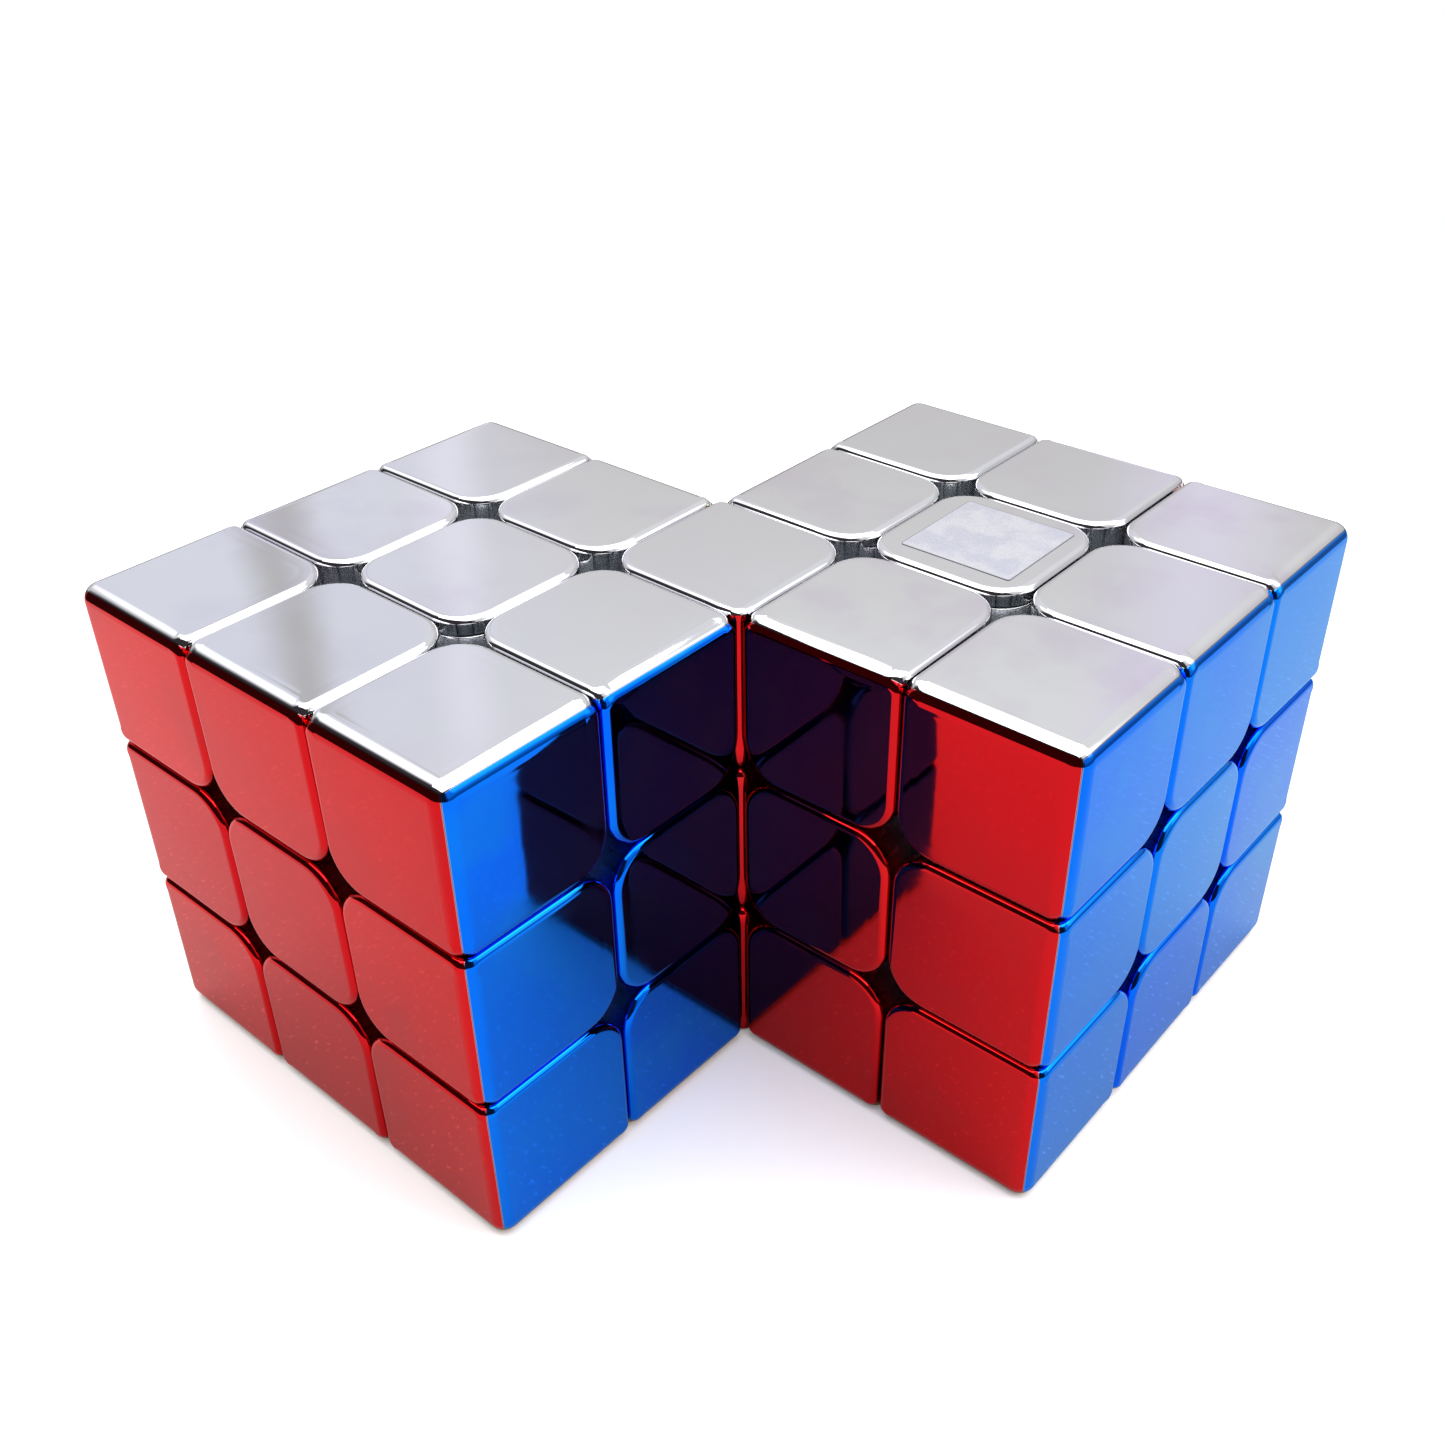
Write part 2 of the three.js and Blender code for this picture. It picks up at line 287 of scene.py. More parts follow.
def metallised_abs(name, clean, smudged, dipped, slanting=(1, 1, 1)):
    """Tinted mirror under clear lacquer. Roughness and colour drift together with the smudges.
    dipped is the colour after the longest dip, and slanting the tint left at shallow angles, where
    light crosses more of the lacquer."""
    made, tree = material(name)
    thin = add(tree, "ShaderNodeAttribute", attribute_name="thin_plating").outputs["Fac"]
    edge = add(tree, "ShaderNodeAttribute", attribute_name="worn_edge").outputs["Fac"]
    dip = add(tree, "ShaderNodeAttribute", attribute_name="dip").outputs["Fac"]
    metal = add(tree, "ShaderNodeMapRange", {"Value": thin, "To Min": 1.0, "To Max": LEAST_METAL})
    place = add(tree, "ShaderNodeTexCoord").outputs["Object"]
    smudge = add(
        tree,
        "ShaderNodeTexNoise",
        {"Vector": place, "Scale": per_pattern(SMUDGE_SIZE), "Detail": 3.0, "Roughness": 0.55},
    )
    share = eased_share(tree, smudge.outputs["Fac"], 0.42, 0.72)
    rough = add(
        tree,
        "ShaderNodeMapRange",
        {"Value": share, "To Min": LEAST_ROUGH, "To Max": MOST_ROUGH},
    )
    dulled = add(
        tree,
        "ShaderNodeMath",
        {0: thin, 1: WALL_DULLING, 2: rough.outputs["Result"]},
        operation="MULTIPLY_ADD",
    )
    layers = [(share, smudged), (dip, dipped), (edge, WORN_TONE), (thin, BARE_WALL)]
    colour = linear(clean)
    for over, hex_colour in layers:
        sockets = {"Factor": over, "A": colour, "B": linear(hex_colour)}
        colour = add(tree, "ShaderNodeMix", sockets, data_type="RGBA").outputs["Result"]
    waved = relief(tree, place, WAVE_SIZE, WAVE_HEIGHT)
    peeled = relief(tree, place, PEEL_SIZE, PEEL_HEIGHT, under=waved)
    shader = add(
        tree,
        "ShaderNodeBsdfPrincipled",
        {
            "Base Color": colour,
            "Specular Tint": (*slanting, 1),
            "Metallic": metal.outputs["Result"],
            "Roughness": dulled.outputs["Value"],
            "Normal": peeled,
            "Coat Weight": LACQUER,
            "Coat Roughness": 0.03,
            "Coat IOR": 1.5,
        },
    )
    add(tree, "ShaderNodeOutputMaterial", {"Surface": shader.outputs["BSDF"]})
    return made


plating = {
    "top": metallised_abs("vacuum_metallised_abs_silver", "#e2e3e4", "#dad6de", "#dedfe2"),
    "bottom": metallised_abs("vacuum_metallised_abs_gold", "#e9b63c", "#dcae46", "#e0a62c"),
    "front": metallised_abs(
        "vacuum_metallised_abs_red", "#d81a1e", "#c82426", "#cc161e", (1, 0.92, 0.9)
    ),
    "back": metallised_abs("vacuum_metallised_abs_orange", "#ee6a14", "#e2701f", "#e65e0c"),
    "right": metallised_abs(
        "vacuum_metallised_abs_blue", "#0064f9", "#0c78ee", "#087cf2", (0.77, 0.95, 0.8)
    ),
    "left": metallised_abs("vacuum_metallised_abs_green", "#12a03c", "#2a9c46", "#0c9436"),
}
PLATED_SLOTS = {
    "top": "plated_silver",
    "bottom": "plated_gold",
    "front": "plated_red",
    "back": "plated_orange",
    "right": "plated_blue",
    "left": "plated_green",
}
print("plated finishes:", len(plating))


# %% [markdown]
# ### Moulded plastic and zinc-plated steel
# Inside, the cubies are black ABS and the core is tougher nylon. Both come from a spark-eroded
# tool, whose fine grain breaks the gloss up. Screws, washers and springs are steel with a thin
# bright zinc plating, which has faint mottled spangles.

# %% Moulded plastic and zinc plating
SHADE_DRIFT = 6 * MM
SPANGLE_SIZE = 0.4 * MM


def moulded_plastic(name, dark, light, rough, grain_size, grain_height):
    """Coloured plastic whose shade drifts slowly and whose surface has a fine tool grain."""
    made, tree = material(name)
    place = add(tree, "ShaderNodeTexCoord").outputs["Object"]
    drift = add(tree, "ShaderNodeTexNoise", {"Vector": place, "Scale": per_pattern(SHADE_DRIFT)})
    colour = add(
        tree,
        "ShaderNodeMix",
        {"Factor": drift.outputs["Fac"], "A": linear(dark), "B": linear(light)},
        data_type="RGBA",
    )
    grain = relief(tree, place, grain_size, grain_height, detail=2.0)
    shader = add(
        tree,
        "ShaderNodeBsdfPrincipled",
        {
            "Base Color": colour.outputs["Result"],
            "Roughness": rough,
            "IOR": 1.53,
            "Normal": grain,
        },
    )
    add(tree, "ShaderNodeOutputMaterial", {"Surface": shader.outputs["BSDF"]})
    return made


def zinc_plate(name):
    """Bright zinc on steel: a grey metal whose spangles differ in roughness."""
    made, tree = material(name)
    place = add(tree, "ShaderNodeTexCoord").outputs["Object"]
    spangle = add(
        tree, "ShaderNodeTexVoronoi", {"Vector": place, "Scale": per_pattern(SPANGLE_SIZE)}
    )
    rough = add(
        tree,
        "ShaderNodeMapRange",
        {"Value": spangle.outputs["Distance"], "To Min": 0.22, "To Max": 0.4},
    )
    shader = add(
        tree,
        "ShaderNodeBsdfPrincipled",
        {
            "Base Color": linear("#c3c5c8"),
            "Metallic": 1.0,
            "Roughness": rough.outputs["Result"],
        },
    )
    add(tree, "ShaderNodeOutputMaterial", {"Surface": shader.outputs["BSDF"]})
    return made


black_abs = moulded_plastic(
    "spark_grained_black_abs", "#101114", "#191a1e", 0.32, 0.25 * MM, 0.004 * MM
)
core_nylon = moulded_plastic(
    "spark_grained_nylon", "#1e2024", "#2b2d31", 0.5, 0.3 * MM, 0.008 * MM
)
bright_zinc = zinc_plate("bright_zinc_on_steel")

# %% [markdown]
# ## The outline of one plated face
# Seen square on, a face is a rectangle with rounded corners. The corners beside a diamond-shaped
# opening have the large radius that lets the layers turn past each other. The others are small.
# The outline is the same number of points for every face, so that rings can be offset and scaled.

# %% Face outlines
ARC_POINTS = 11
SIDE_POINTS = 7


def rounded_rectangle(low, high, radii):
    """Anticlockwise from the lowest corner: an arc of its radius at each corner, then the points of
    the straight side after it. Returns the points and their outward directions."""
    (left, bottom), (right, top) = low, high
    corners = np.array([[left, bottom], [right, bottom], [right, top], [left, top]])
    inward = np.array([[1, 1], [-1, 1], [-1, -1], [1, -1]])
    radii = np.asarray(radii, float)[:, None, None]
    angle = math.pi + np.arange(4)[:, None] * math.pi / 2
    angle = angle + np.linspace(0, math.pi / 2, ARC_POINTS)[None, :]
    facing = np.stack([np.cos(angle), np.sin(angle)], axis=-1)
    arcs = (corners + inward * radii[:, :, 0])[:, None, :] + radii * facing
    share = (np.arange(SIDE_POINTS) + 1)[None, :, None] / (SIDE_POINTS + 1)
    start, end = arcs[:, -1:, :], np.roll(arcs, -1, axis=0)[:, :1, :]
    sides = start + share * (end - start)
    side_facing = np.repeat(facing[:, -1:, :], SIDE_POINTS, axis=1)
    points = np.concatenate([arcs, sides], axis=1).reshape(-1, 2)
    directions = np.concatenate([facing, side_facing], axis=1).reshape(-1, 2)
    return points, directions


def span(step):
    """Where a cubie that many steps from the middle starts and ends, along one axis."""
    return {
        -1: (-outside, -outer_start),
        0: (-middle_half, middle_half),
        1: (outer_start, outside),
    }[step]


def corner_radii(across, up):
    """A corner half a pitch from the face's middle both ways is beside an opening."""
    beside = [
        abs(across + a / 2) < 1 and abs(up + b / 2) < 1
        for a, b in ((-1, -1), (1, -1), (1, 1), (-1, 1))
    ]
    return [round_by_centre if b else round_at_edge for b in beside]


# %% [markdown]
# ## A plated shell
# Each coloured face is a thin tray: a plateau with a hardly visible crown, a line where the tool's
# insert ended, a rounded rim, and a skirt down the side of the cubie. At the outer edges of the
# cube two trays of different colour meet on the mitre, the plane at 45 degrees between them, with
# a hairline gap. A box with a bevel can't show that, so the rim's profile is worked out for every
# point of the outline, and cut where it would pass the mitre.

# %% Shell profile
RIM_BY_SLIT = 0.75 * MM
RIM_AT_EDGE = 1.8 * MM
WALL = 0.45 * MM
SKIRT = 5.0 * MM
MITRE_GAP = 0.05 * MM
PLATED_DEPTH = 1.4 * MM  # below this the plating starts to thin out
THINNEST_DEPTH = 4.5 * MM
CROWN = 0.03 * MM
LEAST_LINE_RADIUS = 0.3 * MM
LINE_INSIDE = 0.4 * MM  # from the rim's inner side to the insert line
LINE_WIDTH = 0.16 * MM
LINE_DEPTH = 0.002 * MM
RIM_STEPS = 8
SKIRT_STEPS = 4


def on_profile(along, rim):
    """A point that far along the rim and skirt: how far in from the outline, how far down, and the
    angle turned. The rim is a quarter circle of radius rim, and the skirt goes straight down."""
    turned = np.minimum(along / rim, math.pi / 2)
    inside = rim * (1 - np.sin(turned))
    down = rim * (1 - np.cos(turned)) + np.maximum(along - rim * math.pi / 2, 0)
    return inside, down, turned


def reach(points, directions, rim, skirt, mitres):
    """How far along the profile each outline point's shell goes: to the skirt's end, or to where
    its depth below this face equals its depth below a neighbouring coloured face."""
    along = np.linspace(0, 1, 400)[None, :] * (rim * math.pi / 2 + skirt)[:, None]
    inside, down, _ = on_profile(along, rim[:, None])
    room = np.full(along.shape, np.inf)
    for axis, sign in mitres:
        beside = points[:, axis, None] - inside * directions[:, axis, None]
        room = np.minimum(room, outside - sign * beside - down - MITRE_GAP)
    passed = room < 0
    last = np.where(passed.any(axis=1), passed.argmax(axis=1) - 1, along.shape[1] - 1)
    return along[np.arange(len(along)), np.maximum(last, 1)]


def rim_radius(directions, outer_sides):
    """The rim is fuller along the cube's own edges than beside a slit, and changes along arcs."""
    fuller = np.zeros(len(directions))
    for axis, sign in outer_sides:
        fuller = fuller + np.clip(directions[:, axis] * sign, 0, 1) ** 2
    return RIM_BY_SLIT + (RIM_AT_EDGE - RIM_BY_SLIT) * fuller


def crown_drop(points, low, high):
    """The plateau's drop from its middle: CROWN times (1 - (1 - x x)(1 - y y)), x and y being -1
    to 1 across the face."""
    middle, half = (low + high) / 2, (high - low) / 2
    share = np.clip((points - middle) / half, -1, 1) ** 2
    return CROWN * (1 - (1 - share[..., 0]) * (1 - share[..., 1]))


def tray(low, high, radii, mitres, limit=None, skirt=SKIRT):
    """Rings of a closed tray as across, up and down: from near the plateau's middle outwards, over
    the rim and down the skirt, then back up the inside of the wall. Also each ring point's
    worn_edge, which is 1 on the outer edge of a mitre."""
    low, high = np.array(low), np.array(high)
    points, directions = rounded_rectangle(low, high, radii)
    rim = rim_radius(directions, mitres)
    longest = reach(points, directions, rim, np.full(len(points), skirt), mitres)
    if limit is not None:
        longest = np.minimum(longest, limit(points))

    edge = points - rim[:, None] * directions
    line_radii = np.maximum(np.array(radii) - RIM_AT_EDGE - LINE_INSIDE, LEAST_LINE_RADIUS)
    offset = RIM_AT_EDGE + LINE_INSIDE
    middle = (low + high) / 2
    line, _ = rounded_rectangle(low + offset, high - offset, line_radii)
    flat_rings = [middle + share * (line - middle) for share in (0.12, 0.35, 0.6, 0.82, 0.93)]
    flat_down = [np.zeros(len(points))] * len(flat_rings)
    for share, depth in ((0.0, 0.0), (0.5, 1.0), (1.0, 0.0)):
        widened = line + (edge - line) * share * LINE_WIDTH / LINE_INSIDE
        flat_rings.append(widened)
        flat_down.append(np.full(len(points), depth * LINE_DEPTH))
    for share in (0.6, 0.95, 1.0):
        flat_rings.append(line + (edge - line) * share)
        flat_down.append(np.zeros(len(points)))
    flat = np.array(flat_rings)
    flat_drop = np.array(flat_down) + crown_drop(flat, low, high)

    over_rim = np.minimum(rim * math.pi / 2, 0.8 * longest)
    steps = np.arange(1, RIM_STEPS + 1)[:, None] / RIM_STEPS
    skirt_steps = np.arange(1, SKIRT_STEPS + 1)[:, None] / SKIRT_STEPS
    along = np.vstack([over_rim * steps, over_rim + (longest - over_rim) * skirt_steps])
    inside, down, turned = on_profile(along, rim)
    sides = points - inside[..., None] * directions
    down = down + CROWN

    keep = [RIM_STEPS + SKIRT_STEPS - 1, RIM_STEPS - 1, RIM_STEPS // 2]
    wall_inside = inside[keep] + WALL * np.sin(turned[keep])
    wall_down = down[keep] + WALL * np.cos(turned[keep])
    wall = points - wall_inside[..., None] * directions
    roof = [edge, middle + 0.5 * (edge - middle)]
    across = np.concatenate([flat, sides, wall, roof])
    roof_down = np.full((2, len(points)), WALL + CROWN)
    all_down = np.concatenate([flat_drop, down, wall_down, roof_down])
    worn = np.zeros(across.shape[:2])
    mitred = longest < rim * math.pi / 2
    worn[len(flat) + RIM_STEPS + SKIRT_STEPS - 1] = mitred
    return np.concatenate([across, all_down[..., None]], axis=-1), worn


# %% [markdown]
# ## Play in the layers
# A loose puzzle never sits dead true: each cubie is turned by a fraction of a degree from its
# neighbours, and mirror faces show it at once. A seeded random turn of each cubie about its own
# middle gives that, and is far smaller than the slits.

# %% Tilt of each cubie
TILT = math.radians(0.28)
chance = np.random.default_rng(33)


def small_turn(angles):
    """The rotation by small angles about X, Y and Z, as 1 + the cross-product matrix, made square
    again by taking the nearest rotation."""
    x, y, z = angles
    near = np.array([[1, -z, y], [z, 1, -x], [-y, x, 1]])
    left, _, right = np.linalg.svd(near)
    return left @ right


cubie_turns = {name: small_turn(chance.uniform(-TILT, TILT, 3)) for name in sorted(cubies)}


def cubie_middle(name):
    cube, steps = cubies[name]
    return cube_middles[cube] + pitch * np.array(steps)


def with_play(name, places):
    """places turned by that cubie's small angles about its middle."""
    middle = cubie_middle(name)
    return (places - middle) @ cubie_turns[name].T + middle


# %% [markdown]
# ## All ninety-four faces
# A face's own across, up and outward directions are a right-handed set of the world's axes, so the
# same tray serves all six sides. The shared column belongs to both cubes: its top and bottom are
# square to both, and only its two upright corners show at the sides.

# %% Build the plated faces
AXES = np.eye(3)
STRIP_RADIUS = 1.3 * MM  # of the shared column's two upright corners that show
SHARED_CORNER_RUN = 1.5 * MM
SHARED_WRAP = math.radians(65)  # how far the silver goes round the rim above them
CAP_SKIRT = 1.0 * MM


def face_axes(axis, sign):
    """Across and up for a face on that side of the cube, so that across x up points outwards."""
    first, second = (axis + 1) % 3, (axis + 2) % 3
    return (first, second) if sign > 0 else (second, first)


def placed(rings, cube_middle, axis, sign):
    """Tray rings into the frame: across and up along their axes, down into the cube."""
    first, second = face_axes(axis, sign)
    return (
        cube_middle
        + rings[..., :1] * AXES[first]
        + rings[..., 1:2] * AXES[second]
        + (outside - rings[..., 2:]) * AXES[axis] * sign
    )


def shared_limit(points):
    """The shared trays stop part of the way round their rim at the two upright corners that show,
    where the coloured corner strips start, and go deeper with distance from the corner."""
    shown = np.array([[middle_half, -middle_half], [-middle_half, middle_half]])
    away = np.abs(points[:, None, :] - shown[None]).sum(axis=-1).min(axis=1)
    return RIM_BY_SLIT * SHARED_WRAP + np.maximum(away - SHARED_CORNER_RUN, 0)


def plated_face(name, axis):
    """The tray on one outward side of a cubie."""
    cube, steps = cubies[name]
    sign = steps[axis]
    side = SIDE_WORDS[axis, sign]
    first, second = face_axes(axis, sign)
    if is_shared(name):
        radii = [round_by_centre, STRIP_RADIUS, round_by_centre, STRIP_RADIUS]
        low, high = np.full(2, -middle_half), np.full(2, middle_half)
        rings, worn = tray(low, high, radii, [], limit=shared_limit)
        middle = np.array([0, 0, outside])
    else:
        spans = np.array([span(steps[first]), span(steps[second])])
        mitres = [(n, steps[a]) for n, a in enumerate((first, second)) if steps[a]]
        capped = name.endswith("centre_top")
        depth = CAP_SKIRT if capped else SKIRT
        radii = corner_radii(steps[first], steps[second])
        rings, worn = tray(spans[:, 0], spans[:, 1], radii, mitres, skirt=depth)
        middle = cube_middles[cube]
    places = with_play(name, placed(rings, middle, axis, sign))
    thin = np.clip((rings[..., 2] - PLATED_DEPTH) / (THINNEST_DEPTH - PLATED_DEPTH), 0, 1)
    marks = {"thin_plating": thin, "worn_edge": worn, "dip": chance.uniform()}
    mesh = mesh_of_rings(f"{name}_{side}_face", places, marks=marks)
    node = f"{name}_cap" if name.endswith("centre_top") else name
    body = nodes[node]["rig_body"]
    return link_piece(mesh.name, mesh, plating[side], body, sharp=50)


faces = {}
for name, (cube, steps) in cubies.items():
    for axis in range(3):
        hidden = is_shared(name) and axis != 2
        if steps[axis] and not hidden:
            faces[name, axis] = plated_face(name, axis)
one_face = faces["shared_corner_top", 2].data
print("plated faces:", len(faces), "faces of one mesh:", len(one_face.polygons))

# %% [markdown]
# ## Upright corners of the shared column
# Where the two cubes meet, the shared cubies show only a narrow rounded corner, red at the front
# and orange at the back. Each is a strip bent round that corner: its plan is an L with a round
# inside it, and its ends curl in like the rims of the faces.

# %% Corner strips
STRIP_HALF = 4.0 * MM
STRIP_OVERLAP = 0.6 * MM  # how much sooner the strip's ends slope away than the tray's


def strip_plan(count=25):
    """Points and outward directions along the L, with the shown corner at the origin: straight, a
    quarter round, straight, by distance along it."""
    arc = STRIP_RADIUS * math.pi / 2
    along = np.linspace(-STRIP_HALF, STRIP_HALF, count)
    angle = np.clip(along / arc + 0.5, 0, 1) * math.pi / 2
    beyond = np.maximum(np.abs(along) - arc / 2, 0)
    before, after = (along < 0) * beyond, (along > 0) * beyond
    x = STRIP_RADIUS * (np.sin(angle) - 1) - before
    y = STRIP_RADIUS * (1 - np.cos(angle)) + after
    facing = np.stack([np.sin(angle), -np.cos(angle)], axis=-1)
    return np.stack([x, y], axis=-1), facing, np.abs(along)


def strip_rings(low, high, top_is_face, bottom_is_face, turn):
    """Rings across the strip, each up the outside and down the inside of its wall. The ends start
    where the face's tray stops, or curl in at a slit."""
    plan, facing, away = strip_plan()
    run = np.maximum(away - SHARED_CORNER_RUN + STRIP_OVERLAP, 0)
    curl = RIM_BY_SLIT * (1 - math.cos(SHARED_WRAP)) + MITRE_GAP
    top = high - (curl + run if top_is_face else 0 * run)
    bottom = low + (curl + run if bottom_is_face else 0 * run)
    share = (1 - np.cos(np.linspace(0, math.pi, 15))) / 2
    height = bottom[:, None] + (top - bottom)[:, None] * share
    to_end = np.minimum(height - low, high - height)
    short = np.clip(RIM_BY_SLIT - to_end, 0, RIM_BY_SLIT)
    inset = RIM_BY_SLIT - np.sqrt(RIM_BY_SLIT**2 - short**2)
    outer = plan[:, None, :] - inset[..., None] * facing[:, None, :]
    inner = (plan - WALL * facing)[:, None, :] - inset[..., None] * facing[:, None, :]
    flat = np.concatenate([outer, inner[:, ::-1]], axis=1) * turn
    flat = flat + turn * np.array([middle_half, -middle_half])
    heights = np.concatenate([height, height[:, ::-1]], axis=1)
    return np.concatenate([flat, heights[..., None]], axis=-1)


STRIPS = {
    "shared_corner_top": (2 * pitch + slit / 2, 3 * pitch, True, False),
    "shared_edge": (pitch + slit / 2, 2 * pitch - slit / 2, False, False),
    "shared_corner_bottom": (0.0, pitch - slit / 2, False, True),
}
strips = []
for name, ends in STRIPS.items():
    for side, turn in (("front", 1), ("back", -1)):
        mesh = mesh_of_rings(f"{name}_{side}_strip", with_play(name, strip_rings(*ends, turn)))
        slot, body = PLATED_SLOTS[side], nodes[name]["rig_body"]
        strips.append(link_piece(mesh.name, mesh, plating[side], body, sharp=50))
print("corner strips:", len(strips))

# %% [markdown]
# ## Dark mouldings behind the faces
# The CAD cubies are solid up to their outer faces. The real moulding ends a wall's thickness
# behind its plated trays, so each CAD mesh is copied, its doubles merged, and the part outside the
# feet's ball drawn in along its own normals. The foot keeps its size, because the mechanism's fit
# depends on it.

# %% Inner mouldings
FEET_BALL = 20.7 * MM
DRAWN_IN = 0.98 * MM
DRAWN_OVER = 0.3 * MM  # outside the ball, until the whole of it is drawn in


def merged_copy(node, name):
    """A copy of a CAD node's mesh with its loose triangles joined."""
    mesh = nodes[node].data.copy()
    mesh.name = name
    joined = bmesh.new()
    joined.from_mesh(mesh)
    bmesh.ops.remove_doubles(joined, verts=joined.verts, dist=1e-6)
    joined.to_mesh(mesh)
    joined.free()
    return mesh


def drawn_in(mesh, middles):
    """Each vertex outside the feet's ball round every given middle moves in along its normal."""
    places = np.empty(len(mesh.vertices) * 3)
    mesh.vertices.foreach_get("co", places)
    normals = np.empty(len(mesh.vertices) * 3)
    mesh.vertex_normals.foreach_get("vector", normals)
    places, normals = places.reshape(-1, 3), normals.reshape(-1, 3)
    away = np.min([np.linalg.norm(places - m, axis=1) for m in middles], axis=0)
    share = np.clip((away - FEET_BALL) / DRAWN_OVER, 0, 1)
    return places - normals * share[:, None] * DRAWN_IN


mouldings = []
for name, (cube, steps) in cubies.items():
    has_cap = name.endswith("centre_top")
    for node in [f"{name}_base", f"{name}_cap"] if has_cap else [name]:
        mesh = merged_copy(node, f"{node}_moulding")
        middles = list(cube_middles.values()) if is_shared(name) else [cube_middles[cube]]
        places = with_play(name, drawn_in(mesh, middles))
        mesh.vertices.foreach_set("co", places.ravel())
        mesh.update()
        body = nodes[node]["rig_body"]
        piece = link_piece(mesh.name, mesh, black_abs, body, sharp=35)
        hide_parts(node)
        mouldings.append(piece)
print("inner mouldings:", len(mouldings))

# %% [markdown]
# ## Collars under the two separate caps
# Each top centre is made in two pieces so that its spring can be set: a base with a well, and a
# push-in cap. A fine seam shows between them in the openings, and the base's own wall is plated
# like the cap's. One ring a wall thick, round the base's outline, carries that plating.

# %% Collars
COLLAR_TOP = 2.0 * MM  # below the cube's top
COLLAR_BOTTOM = 5.6 * MM
COLLAR_EASE = 0.2 * MM
COLLAR_THIN = np.array([0.6, 0.0, 0.3, 0.9, 0.9])[:, None]  # bright only round its ease


def collar_rings():
    """From the inner edge outwards over the top, round a small ease, down the outside and back up
    the inside, as across, up and down."""
    half = np.full(2, middle_half)
    points, directions = rounded_rectangle(-half, half, [round_by_centre] * 4)
    inside = np.array([WALL, COLLAR_EASE, 0, 0, WALL])
    eased = COLLAR_TOP + COLLAR_EASE
    down = np.array([COLLAR_TOP, COLLAR_TOP, eased, COLLAR_BOTTOM, COLLAR_BOTTOM])
    flat = points - inside[:, None, None] * directions
    heights = np.broadcast_to(down[:, None, None], (*flat.shape[:2], 1))
    return np.concatenate([flat, heights], axis=-1)


collars = []
for cube, middle in cube_middles.items():
    node = f"{cube}_centre_top_base"
    places = with_play(f"{cube}_centre_top", placed(collar_rings(), middle, 2, 1))
    marks = {"thin_plating": COLLAR_THIN}
    mesh = mesh_of_rings(f"{node}_collar", places, wrap=True, poles=False, marks=marks)
    body = nodes[node]["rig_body"]
    collars.append(link_piece(mesh.name, mesh, plating["top"], body, sharp=50))
print("collars:", len(collars))

# %% [markdown]
# ## Blank label
# The right cube's top centre carries a square of silver label foil, left blank here. It is punched
# from a sheet of metallised film on a paper backing, so the face is a soft satin. A thin band round
# its edge is coloured dull grey. It is only 0.06 mm thick and follows the cap.

# %% Foil label
LABEL_HALF = 6.5 * MM
LABEL_ASIDE = 0.35 * MM  # stuck on a little off the middle
LABEL_CORNER = 0.35 * MM
LABEL_THICKNESS = 0.06 * MM
LABEL_SUNK = 0.03 * MM  # so that its underside meets the crowned cap
# how far in from the label's edge the dull grey band reaches on its top
GREY_BAND_WIDTH = 0.09 * MM
SATIN_SIZE = 0.22 * MM
CLOUD_SIZE = 3.0 * MM


def label_foil(name):
    """Satin metal film. A fine noise varies its gloss and a broad one its tint; thin_plating marks
    a dull grey band round the edge, which is not metal."""
    made, tree = material(name)
    place = add(tree, "ShaderNodeTexCoord").outputs["Object"]
    # thin_plating here marks the band coloured dull grey round the label's edge
    cut = add(tree, "ShaderNodeAttribute", attribute_name="thin_plating").outputs["Fac"]
    satin = add(tree, "ShaderNodeTexNoise", {"Vector": place, "Scale": per_pattern(SATIN_SIZE)})
    cloud = add(tree, "ShaderNodeTexNoise", {"Vector": place, "Scale": per_pattern(CLOUD_SIZE)})
    rough = add(
        tree,
        "ShaderNodeMapRange",
        {"Value": satin.outputs["Fac"], "To Min": 0.2, "To Max": 0.34},
    )
    rubbed = eased_share(tree, cloud.outputs["Fac"], 0.4, 0.62)
    film = add(
        tree,
        "ShaderNodeMix",
        {"Factor": rubbed, "A": linear("#dddfeb"), "B": linear("#ebecf3")},
        data_type="RGBA",
    )
    colour = add(
        tree,
        "ShaderNodeMix",
        {"Factor": cut, "A": film.outputs["Result"], "B": linear("#74747c")},
        data_type="RGBA",
    )
    metal = add(tree, "ShaderNodeMapRange", {"Value": cut, "To Min": 1.0, "To Max": 0.0})
    shader = add(
        tree,
        "ShaderNodeBsdfPrincipled",
        {
            "Base Color": colour.outputs["Result"],
            "Metallic": metal.outputs["Result"],
            "Roughness": rough.outputs["Result"],
        },
    )
    add(tree, "ShaderNodeOutputMaterial", {"Surface": shader.outputs["BSDF"]})
    return made


def label_rings():
    """From the middle of the face to the cut edge, down it and back under."""
    half = np.full(2, LABEL_HALF)
    outline, directions = rounded_rectangle(-half, half, [LABEL_CORNER] * 4)
    edges = [0.2 * outline, 0.7 * outline, outline - 1.2 * GREY_BAND_WIDTH * directions]
    edges += [outline - GREY_BAND_WIDTH * directions, outline, outline, 0.5 * outline]
    edges = np.array(edges) + LABEL_ASIDE
    down = [LABEL_SUNK - LABEL_THICKNESS] * 5 + [LABEL_SUNK] * 2
    heights = np.repeat(np.array(down)[:, None], len(outline), axis=1)
    # 1 where the label is coloured dull grey: the last stretch of its top, its side and its
    #                                          underside
    grey_band_marks = np.repeat(np.array([0, 0, 0, 1, 1, 1, 1])[:, None], len(outline), axis=1)
    return np.concatenate([edges, heights[..., None]], axis=-1), grey_band_marks.astype(float)


